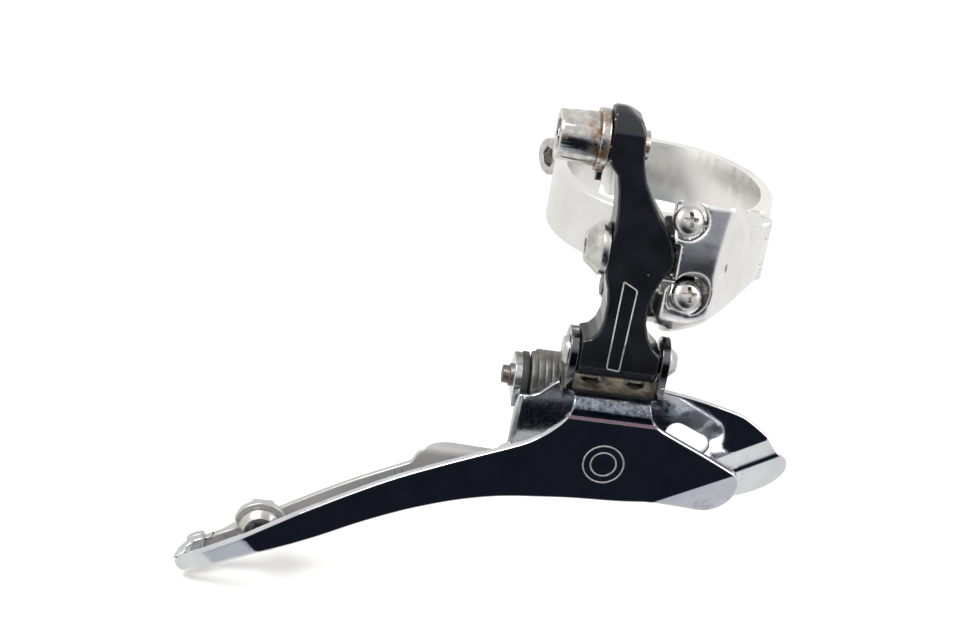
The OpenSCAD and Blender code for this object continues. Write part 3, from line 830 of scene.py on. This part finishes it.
INNER_T = 1.2
NOSE_RIDGE = (Vector((5.0, -40.1)), Vector((22.0, -29.9)))
SPRING_SEAT_X = -21.6
SPRING_SEAT_Z = -37.2
SPRING_SEAT_R = 1.5
LEDGE_Z = -41.2
LEDGE_R = 2.0
LEDGE_TURN = math.radians(80)
LEDGE_X = (-40, -21)
# the ledge fades out over these lengths at its front and its back
LEDGE_FRONT, LEDGE_FRONT_FADE = -22.6, 2.5
LEDGE_BACK, LEDGE_BACK_FADE = -39.4, 1.0


def roll(d):
    """How the nose swells outboard past its ridge, then turns back inboard."""
    rise, flat, turn, back = -0.62, 2.2, 1.5, 0.55
    if d < flat:
        return rise * d
    t = min(d - flat, turn)
    height = rise * flat + rise * t + (back - rise) * t * t / (2 * turn)
    return height + back * max(0.0, d - flat - turn)


def place_inner(u, h, v):
    """Bends a point of the flat inner plate to the nose, the ledge or the wall of the spring's seat."""
    x, y, z = u, INNER_Y + h, v
    d = (Vector((u, v)) - NOSE_RIDGE[0]).dot(across(NOSE_RIDGE))
    if d > 0:
        y += roll(d)
    if v > LEDGE_Z and LEDGE_X[0] < u < LEDGE_X[1]:
        along, inboard = fold(v - LEDGE_Z, h, LEDGE_TURN, LEDGE_R)
        fade = max(0.0, min(1.0, (LEDGE_FRONT - u) / LEDGE_FRONT_FADE))
        fade *= max(0.0, min(1.0, (u - LEDGE_BACK) / LEDGE_BACK_FADE))
        z = v + (along - (v - LEDGE_Z)) * fade
        y = INNER_Y + h + (inboard - h) * fade
    if u < SPRING_SEAT_X and v > SPRING_SEAT_Z:
        along, inboard = fold(SPRING_SEAT_X - u, h, math.pi / 2, SPRING_SEAT_R)
        x, y = SPRING_SEAT_X - along, INNER_Y + inboard
    return Vector((x, y, z))


def inner_cage_plate():
    loop = outline(
        (1.2, [(27.0, -35.0), (26.3, -33.4), (23.8, -31.2)]),
        (0.4, [(22.4, -29.6), (18.9, -27.2), (16.1, -25.9), (8.4, -24.1), (2.2, -23.2)]),
        (0.5, [(1.0, -23.0)]),
        (1.6, [(-15.4, -23.0)]),
        (1.2, [(-19.6, -27.3)]),
        (1.4, [(-23.3, -27.4)]),
        (1.0, [(-23.3, -37.0), (-24.6, -38.2), (-30, -38.0), (-33.4, -38.0), (-36.2, -39.2), (-38.2, -41.4)]),
        (0.4, [(-38.8, -43.0), (-41.2, -44.2), (-49.2, -48.4), (-57.5, -53.4)]),
        (1.0, [(-61.5, -56.0), (-67.6, -59.4)]),
        (0.6, [(-71.2, -62.4)]),
        (0.8, [(-70.4, -64.8), (-66, -63.6), (-59, -60.4), (-50, -54.2), (-40, -49.3), (-30, -45.9),
               (-20, -43.7), (-10, -42.8), (2, -42.8)]),
        (2.0, [(6.0, -43.2), (13.0, -43.6), (19.4, -42.8), (24.2, -40.4), (26.5, -37.4)]),
    )
    nose_cuts = (0, 0.3, 0.8, 1.5, 2.2, 2.5, 2.8, 3.1, 3.4, 3.7, 4.5, 6, 7.5)
    cuts = cuts_at(nose_cuts, across(NOSE_RIDGE), NOSE_RIDGE[0])
    cuts += cuts_at(spread(SPRING_SEAT_X, SPRING_SEAT_X - SPRING_SEAT_R * math.pi / 2, 7))
    cuts += cuts_at(spread(LEDGE_FRONT, LEDGE_FRONT - LEDGE_FRONT_FADE, 5))
    cuts += cuts_at(spread(LEDGE_BACK + LEDGE_BACK_FADE, LEDGE_BACK, 3))
    cuts += cuts_at([*spread(LEDGE_Z, LEDGE_Z + LEDGE_R * LEDGE_TURN, 8), SPRING_SEAT_Z], (0, 1))
    tail_hole = circle(TAIL.x, TAIL.z, TAIL_HOLE_R)
    holes = [slot_loop((6.2, -31.0), (10.1, -32.6), 1.9), tail_hole]
    main = sheet(loop, holes, INNER_T, 0.28, place_inner, cuts)
    flange_loop = outline(
        (0.6, [(-14.2, -33.4)]), (0.6, [(-0.4, -33.4)]), (0, [(-0.4, -27.4)]), (0, [(-14.2, -27.4)])
    )
    flange = sheet(flange_loop, [], 1.3, 0.25, lambda u, h, v: Vector((u, v, -24.5 + h)))
    ears = [
        ear(x0, x1, P4.y, P4.z, 4.2, (INNER_Y + front, P4.y + 3.6), P4.z - 3.4)
        for x0, x1, front in ((-23.4, -22.0, 0.9), (-5.7, -4.3, 0.4))
    ]
    boss = sheet(circle(TAIL.x, TAIL.z, 4.4), [tail_hole], INNER_T, 0.28, flat_at(INNER_Y))
    piece = finish_piece("inner_plate", join([main, flange, *ears, boss]), "inner_cage_plate")
    weigh_normals(piece)
    return piece


# ---- clamp half with its block ----

BORE_R = 17.5
BAND_R = 19.8
BAND_H = 5.6
CLAMP_START = math.radians(-45)
SPLIT = math.radians(116)
CLAMP_STOP = SPLIT + math.radians(3.5)
BOLT_AT = 23.8
LUG_R = 4.8
LUG_SPAN = (1.2, 5.4)
HINGE = joint_at["band_spread"]
KNUCKLE_R = 2.7
KNUCKLE_GAP = 2.6
SCREW_RISE, SCREW_TURN = math.radians(30), math.radians(12)
SCREW_FRAME = Matrix.Rotation(SCREW_TURN, 3, "Z") @ Matrix.Rotation(-SCREW_RISE, 3, "X")
LOW_HEAD = joint_at["low_screw_turn"]
HIGH_HEAD = joint_at["high_screw_turn"]
BLOCK_FACE = [
    (-36.0, 8.4), (-36.7, 5.6), (-37.0, 2.6), (-37.0, -0.4), (-36.7, -3.4), (-35.8, -6.2), (-33.4, -8.9),
]
BLOCK_SIDE = [
    (-34.2, 14.2), *spline(BLOCK_FACE, 0.5), (-28, -12), (-19.6, -12), (-18.2, -10.4), (-18.2, -5.5),
    (-12, -5.5), (-12, 5.4), (-20, 5.4), (-30.5, 13.3), (-33.4, 14.6),
]
BLOCK_PLAN = [
    (-3.2, -38), (4.6, -38), (5.4, -36.6), (6.4, -34.6), (11.9, -26.3), (16.4, -17.2), (15.4, -11),
    (-3.2, -11),
]
BLOCK_FRONT = [
    (-3.2, -6.6), (-2.6, -8.2), (-1.0, -9.2), (-1, -13), (3.2, -13), (6.6, -10.2), (9.4, -7.6), (12, -5.6),
    (17.5, -5.5), (17.5, 5.5), (12.5, 5.6), (7.6, 14), (6, 16), (-3.2, 16),
]
NOSE_SIDE = [
    (-27.5, -5), (-27.5, -9.6), (-26.2, -11.4), (-24, -11.9), (-19.7, -11.9), (-18.3, -10.3), (-18.3, -4),
    (-24, -4),
]


def along_screw(head, distance):
    return head + SCREW_FRAME @ Vector((0, distance, 0))


def clamp_ring(g, out):
    """Half of the band, with the lug that the clamp bolt pulls on."""
    ring = both(out - BAND_R, np.abs(g.z) - BAND_H, 0.6)
    gap = both(
        g.x * math.sin(CLAMP_START) - g.y * math.cos(CLAMP_START),
        g.y * math.cos(CLAMP_STOP) - g.x * math.sin(CLAMP_STOP),
    )
    ring = without(ring, gap, 0.3)
    u = g.x * math.cos(SPLIT) + g.y * math.sin(SPLIT) - BOLT_AT
    s = g.y * math.cos(SPLIT) - g.x * math.sin(SPLIT)
    lug = both(np.hypot(np.maximum(u, 0), g.z) - LUG_R, np.maximum(LUG_SPAN[0] - s, s - LUG_SPAN[1]), 0.6)
    return either(ring, np.maximum(lug, -5.6 - u), 0.8)


def clamp_block(g):
    """The block that holds the pivots and the limit screws."""
    block = both(g.prism("x", BLOCK_SIDE, 0.8), g.prism("z", BLOCK_PLAN, 0.9), 0.9)
    block = both(block, g.prism("y", BLOCK_FRONT, 0.9), 0.9)
    corner = Vector((0.6, -0.35, -0.72)).normalized()
    past = (g.x - 6.4) * corner.x + (g.y + 36.5) * corner.y + (g.z + 4.8) * corner.z
    return both(block, past, 1.6)


def clamp_body():
    g = Grid((-20.6, -38.2, -13.2), (20.2, 27.2, 16.4), 0.24)
    out = np.sqrt(g.x * g.x + g.y * g.y)
    body = either(clamp_ring(g, out), clamp_block(g), 1.6)
    body = either(body, both(g.prism("x", NOSE_SIDE, 0.6), np.maximum(-5.7 - g.x, g.x - 3), 0.5), 0.8)

    def at_hinge(half, r, edge=0.0):
        return g.rod((HINGE.x, HINGE.y, -half), (HINGE.x, HINGE.y, half), r, edge)

    body = either(body, at_hinge(BAND_H, KNUCKLE_R, 0.4), 0.5)
    body = without(body, at_hinge(KNUCKLE_GAP, 3.0), 0.1)
    # room for the arm's barrel, then for the arm's stops as they swing, then the screws' sunk heads
    body = without(body, g.rod((-6.5, P1.y, P1.z), (-1.6, P1.y, P1.z), 6.1), 0.2)
    body = without(body, g.slab((-2.2, -33.9, -4.2), (3.9, -24, 2)))
    body = without(body, g.slab((-2.2, -33.3, -3), (3.9, -23, 17)), 0.2)
    body = without(body, g.slab((-4, -30.2, 5.8), (3.9, -23, 17)), 0.2)
    for head, depth, r, edge in ((LOW_HEAD, 2.1, 3.2, 0.3), (HIGH_HEAD, 2.6, 3.4, 0.35)):
        body = without(body, g.rod(along_screw(head, -4), along_screw(head, depth), r), edge)
    body = without(body, out - BORE_R, 0.2)
    return finish_piece("clamp_casting", g.mesh(body), "clamp_body")


# ---- arm ----

ARM_OUTLINE = [
    (-15.9, 27.2), (-15.4, 28.1), (-13.9, 28.2), (-11.0, 26.4), (-10.3, 25.2), (-10.0, 22.6),
    (-9.6, 19.6), (-8.7, 16.6), (-7.4, 14.2), (-5.7, 11.4), (-3.4, 8.4), (-2.4, 6.4), (-2.0, 4.2),
    (-2.3, 2.0), (-3.3, -0.2), (-4.1, -2.4), (-4.5, -5.4), (-4.3, -8.1), (-3.5, -10.6), (-2.4, -12.4),
    (-0.7, -13.8), (-0.7, -21), (-14.6, -21), (-14.6, -12.4), (-13.1, -11.9), (-12.1, -10.6),
    (-11.6, -8.6), (-11.6, -5.4), (-12.0, -2.8), (-12.7, -0.8), (-13.0, 1.2), (-13.0, 5.3),
    (-12.7, 8.1), (-12.8, 11.0), (-13.2, 14.4), (-13.8, 17.0), (-15.1, 18.4), (-15.9, 20),
]
ARM_SIDE = [
    (-35.3, -17.0), (-35.3, -12.0), (-35.1, -8), (-35.0, 3), (-34.8, 8), (-33.6, 17), (-33.2, 24.3),
    (-31.6, 27.3), (-29.6, 28.2), (-27.4, 27.6), (-25.4, 24.5), (-25.2, 18), (-27.9, 8), (-28.1, 3),
    (-27.6, -14), (-28.4, -18.6), (-30.2, -19.8), (-32.6, -19.8), (-34.5, -18.7),
]


# the arm is narrower below this height, where it fits between the cage's ears
ARM_FOOT_Z = -10
ARM_FOOT_X = (-14.6, -0.7)
ARM_HOLE_R = 2.1


def arm_front(z):
    """Y of the arm's outboard face at a height."""
    heights, depths = zip(*sorted((height, y) for y, height in ARM_SIDE[:7]))
    return float(np.interp(z, heights, depths))


def outer_link():
    g = Grid((-17.2, -36.4, -21.2), (4.6, -24.2, 29.2), 0.2)
    arm = both(g.prism("y", ARM_OUTLINE, 0.25), g.prism("x", ARM_SIDE, 0.5), 0.55)
    foot = np.maximum(ARM_FOOT_X[0] - g.x, g.x - ARM_FOOT_X[1])
    arm = np.where(g.z > ARM_FOOT_Z, arm, np.maximum(arm, foot))

    def cross_rod(x0, x1, centre, r, edge=0.0):
        return g.rod((x0, centre.y, centre.z), (x1, centre.y, centre.z), r, edge)

    def stop(x, y, z, edge):
        """Part of the stops that the limit screws press on, in spans from the upper pivot."""
        return g.slab((x[0], P1.y + y[0], P1.z + z[0]), (x[1], P1.y + y[1], P1.z + z[1]), edge)

    arm = either(arm, either(cross_rod(-12.9, -1.9, P1, 3.6), cross_rod(-3, 3.6, P1, 2.9)))
    arm = either(arm, cross_rod(-16.1, -13, ANCHOR, 3.8, 0.3), 0.4)
    arm = either(arm, stop((-1.9, 1.4), (-0.1, 2.1), (2.4, 8.4), 0.3))
    arm = either(arm, stop((0.1, 3.2), (1.9, 3.4), (-6, 0), 0.2))
    arm = either(arm, stop((0.1, 3.2), (1.0, 3.4), (-1.8, 1.6), 0.3))
    arm = without(arm, cross_rod(-20, 5, P1, ARM_HOLE_R))
    arm = without(arm, cross_rod(-20, 5, P2, ARM_HOLE_R))
    arm = without(arm, cross_rod(-20, -8.5, ANCHOR, 2.55))
    return finish_piece("arm", g.mesh(arm), "outer_link")


MARK_WIDTH = 0.2
MARK_T = 0.06
MARK_EDGE = 0.015
MARK_SUNK = 0.05


def painted_line(loop, place, cuts=()):
    """A thin printed line that follows the inside of a loop."""
    return sheet(loop, [inset(loop, MARK_WIDTH)], MARK_T, MARK_EDGE, place, cuts, 2)


def panel_frame():
    """The plain painted frame on the front of the arm."""
    corners = [Vector(c) for c in ((-9.7, -17.0), (-7.3, -17.3), (-6.9, -2.0), (-9.6, -0.6))]
    bend = 0.5
    loop = []
    for before, here, after in zip(corners[-1:] + corners[:-1], corners, corners[1:] + corners[:1]):
        a, c = (here + (other - here).normalized() * bend for other in (before, after))
        loop += [tuple(a.lerp(here, t).lerp(here.lerp(c, t), t)) for t in spread(0, 1, 4)]

    def on_arm(u, h, v):
        return Vector((u, arm_front(v) - MARK_SUNK + h, v))

    mesh = painted_line(loop, on_arm, cuts_at(spread(-18, 0, 18), (0, 1)))
    return finish_piece("arm_panel_frame", mesh, "outer_link", PAINT_MARK)


def plate_emblem():
    """Two plain rings, one inside the other, on the outer plate."""
    rings = [painted_line(circle(-7.4, -33.4, r, 56), flat_at(OUTER_Y - MARK_SUNK)) for r in (3.6, 2.3)]
    return finish_piece("plate_emblem", join(rings), "outer_cage_plate", PAINT_MARK)


# ---- screws and spring ----

HEAD_R = 2.6
HEAD_DEPTH = 2.0
SHANK_R = 1.5
RECESS_REACH = 1.45
RECESS_HALF_WIDTH = 0.36
RECESS_DEPTH = 1.0


def turned(rings, count=48):
    """A turned piece along +Y from (radius, depth) rings, its tip a point."""
    mesh = bmesh.new()
    around = [(math.cos(a), math.sin(a)) for a in (2 * math.pi * i / count for i in range(count))]
    tip = mesh.verts.new((0, rings[0][1], 0))
    turns = [[mesh.verts.new((r * x, depth, r * z)) for x, z in around] for r, depth in rings[1:]]
    for a, b in zip(turns[0], turns[0][1:] + turns[0][:1]):
        mesh.faces.new((tip, b, a))
    for a, b in zip(turns, turns[1:]):
        skin(mesh, a, b)
    mesh.faces.new(turns[-1])
    return mesh


def cross_recess():
    """Two crossed wedges, narrower at the bottom."""
    mesh = bmesh.new()
    for turn in (0, math.pi / 2):
        rows = []
        for depth, reach, width in ((-0.4, 1.1, 1.0), (RECESS_DEPTH, 0.55, 0.8)):
            a, b = RECESS_REACH * reach, RECESS_HALF_WIDTH * width
            rows.append([
                mesh.verts.new(Matrix.Rotation(turn, 3, "Y") @ Vector((x, depth, z)))
                for x, z in ((-a, -b), (a, -b), (a, b), (-a, b))
            ])
        top, bottom = rows
        mesh.faces.new(top)
        mesh.faces.new(bottom)
        skin(mesh, top, bottom)
    bmesh.ops.recalc_face_normals(mesh, faces=mesh.faces)
    return mesh


def screw_head(name, node, head, length):
    """Pan head with a cross recess, on its shank."""
    r = HEAD_R
    mesh = turned([
        (0.0, 0.0), (0.9, 0.02), (1.6, 0.1), (r - 0.45, 0.36), (r - 0.12, 0.66), (r, 1.0), (r, 1.85),
        (r - 0.1, HEAD_DEPTH), (SHANK_R, HEAD_DEPTH), (SHANK_R, length - 0.9), (0.7, length),
    ])
    for vert in mesh.verts:
        vert.co = head + SCREW_FRAME @ vert.co
    piece = finish_piece(name, mesh, node)
    recess = cross_recess()
    for vert in recess.verts:
        vert.co = (head + SCREW_FRAME @ vert.co) * MM
    cut_data = bpy.data.meshes.new(name + "_recess")
    recess.to_mesh(cut_data)
    recess.free()
    cut_data.materials.append(MATERIALS["pin_steel"])
    cutter = add_object(name + "_recess", cut_data)
    boolean = piece.modifiers.new("recess", "BOOLEAN")
    boolean.operation = "DIFFERENCE"
    boolean.solver = "EXACT"
    boolean.use_self = True
    boolean.object = cutter
    bake(piece)
    bpy.data.objects.remove(cutter)
    shade(piece, 32)
    return piece


def bake(piece):
    """Applies the piece's modifiers to its mesh."""
    bpy.context.view_layer.update()
    depsgraph = bpy.context.evaluated_depsgraph_get()
    data = bpy.data.meshes.new_from_object(piece.evaluated_get(depsgraph))
    piece.modifiers.clear()
    piece.data = data


def shade(piece, angle):
    """Smooth shading with sharp edges kept beyond an angle."""
    mesh = bmesh.new()
    mesh.from_mesh(piece.data)
    for face in mesh.faces:
        face.smooth = True
    for edge in mesh.edges:
        edge.smooth = edge.calc_face_angle(0) < math.radians(angle)
    mesh.to_mesh(piece.data)
    mesh.free()


SPRING_TURNS = 5
SPRING_R = 4.42
SPRING_START = -20.1
SPRING_PITCH = 1.168
WIRE_R = 0.69
# the exponent that shapes the wire's section: 1 gives a circle, 0 a square
WIRE_SOFTNESS = 0.45


def spring():
    """The five turns of the return spring, of wire with flattened sides."""
    mesh = bmesh.new()
    sides, steps = 16, 40

    def flattened(value):
        return WIRE_R * math.copysign(abs(value) ** WIRE_SOFTNESS, value)

    angles = [2 * math.pi * (i + 0.5) / sides for i in range(sides)]
    profile = [(flattened(math.cos(a)), flattened(math.sin(a))) for a in angles]
    rings = []
    for i in range(SPRING_TURNS * steps + 1):
        turned_by = i / steps
        angle = 2 * math.pi * turned_by + math.pi / 2
        out = Vector((0, math.cos(angle), math.sin(angle)))
        centre = Vector((SPRING_START + SPRING_PITCH * turned_by, P4.y, P4.z)) + out * SPRING_R
        rings.append([mesh.verts.new(centre + out * p + Vector((q, 0, 0))) for p, q in profile])
    for a, b in zip(rings, rings[1:]):
        skin(mesh, a, b)
    mesh.faces.new(rings[0])
    mesh.faces.new(rings[-1])
    return finish_piece("spring_coil", mesh, "return_spring")


# ---- the rest ----

BUILT = {
    "outer_cage_plate": outer_cage_plate,
    "inner_cage_plate": inner_cage_plate,
    "clamp_body": clamp_body,
    "outer_link": outer_link,
    "return_spring": spring,
    "low_limit_screw": lambda: screw_head("low_screw_head", "low_limit_screw", LOW_HEAD, 4.3),
    "high_limit_screw": lambda: screw_head("high_screw_head", "high_limit_screw", HIGH_HEAD, 4.2),
}
for name in nodes:
    if name in BUILT:
        BUILT[name]()
    else:
        refined(name, 0.3 if name == "clamp_band" else 0.15)

panel_frame()
plate_emblem()


# ---- camera, floor, light ----


def make_camera():
    a, e, r = map(math.radians, (CAMERA_AZIMUTH, CAMERA_ELEVATION, CAMERA_ROLL))
    back = Vector((math.sin(a) * math.cos(e), -math.cos(a) * math.cos(e), math.sin(e)))
    level = Vector((0, 0, 1)).cross(back).normalized()
    rise = back.cross(level)
    right = level * math.cos(r) + rise * math.sin(r)
    up = rise * math.cos(r) - level * math.sin(r)
    camera = add_object("camera", bpy.data.cameras.new("camera"))
    camera.data.lens = CAMERA_LENS
    camera.data.clip_start = 0.01
    camera.data.clip_end = 20
    turn = Matrix((right, up, back)).transposed()
    camera.matrix_world = Matrix.Translation(CAMERA_TARGET + back * CAMERA_DISTANCE) @ turn.to_4x4()
    bpy.context.scene.camera = camera


def make_floor(height):
    mesh = bpy.data.meshes.new("floor")
    half = 3.0
    corners = [(-half, -half, height), (half, -half, height), (half, half, height), (-half, half, height)]
    mesh.from_pydata(corners, [], [(0, 1, 2, 3)])
    floor = add_object("floor", mesh)
    surface = Surface("floor").set(Roughness=0.9)
    surface.color(surface.tones(surface.noise(3, detail=3), (0.90, 0.895, 0.885), (0.93, 0.925, 0.915)))
    mesh.materials.append(surface.material)
    floor.visible_glossy = False


def make_world():
    """White all round, with a dark room only behind the camera, as polished metal sees it."""
    world = bpy.data.worlds.new("studio")
    bpy.context.scene.world = world
    world.use_nodes = True
    tree = world.node_tree
    tree.nodes.clear()
    new, link = tree.nodes.new, tree.links.new
    coords = new("ShaderNodeTexCoord")
    dot = new("ShaderNodeVectorMath")
    dot.operation = "DOT_PRODUCT"
    dot.inputs[1].default_value = Vector((0.10, -0.93, -0.30)).normalized()
    link(coords.outputs["Generated"], dot.inputs[0])
    ramp = new("ShaderNodeValToRGB")
    stops = ((0.62, (1.0, 0.99, 0.97, 1)), (0.80, (0.42, 0.47, 0.56, 1)), (0.90, (0.012, 0.014, 0.022, 1)))
    ramp.color_ramp.elements.new(0.5)
    for element, (place, color) in zip(ramp.color_ramp.elements, stops):
        element.position = place
        element.color = color
    link(dot.outputs["Value"], ramp.inputs["Fac"])
    room = new("ShaderNodeBackground")
    link(ramp.outputs["Color"], room.inputs["Color"])
    plain = new("ShaderNodeBackground")
    plain.inputs["Color"].default_value = (1, 1, 1, 1)
    plain.inputs["Strength"].default_value = 0.85
    path = new("ShaderNodeLightPath")
    mix = new("ShaderNodeMixShader")
    link(path.outputs["Is Glossy Ray"], mix.inputs["Fac"])
    link(plain.outputs["Background"], mix.inputs[1])
    link(room.outputs["Background"], mix.inputs[2])
    out = new("ShaderNodeOutputWorld")
    link(mix.outputs["Shader"], out.inputs["Surface"])


def area_light(name, place, target, size, power):
    light = bpy.data.lights.new(name, "AREA")
    light.shape = "DISK"
    light.size = size
    light.energy = power
    lamp = add_object(name, light)
    lamp.location = place
    lamp.rotation_mode = "QUATERNION"
    lamp.rotation_quaternion = (Vector(target) - Vector(place)).to_track_quat("-Z", "Y")


make_camera()
make_floor(cad_box[0].z - 2 * MM)
make_world()
MIDDLE = (-0.02, 0, -0.02)
area_light("key", (-0.45, -0.35, 0.65), MIDDLE, 0.45, 5.0)
area_light("fill", (0.55, -0.15, 0.45), MIDDLE, 0.5, 3.0)
bpy.context.scene.view_settings.view_transform = "Standard"
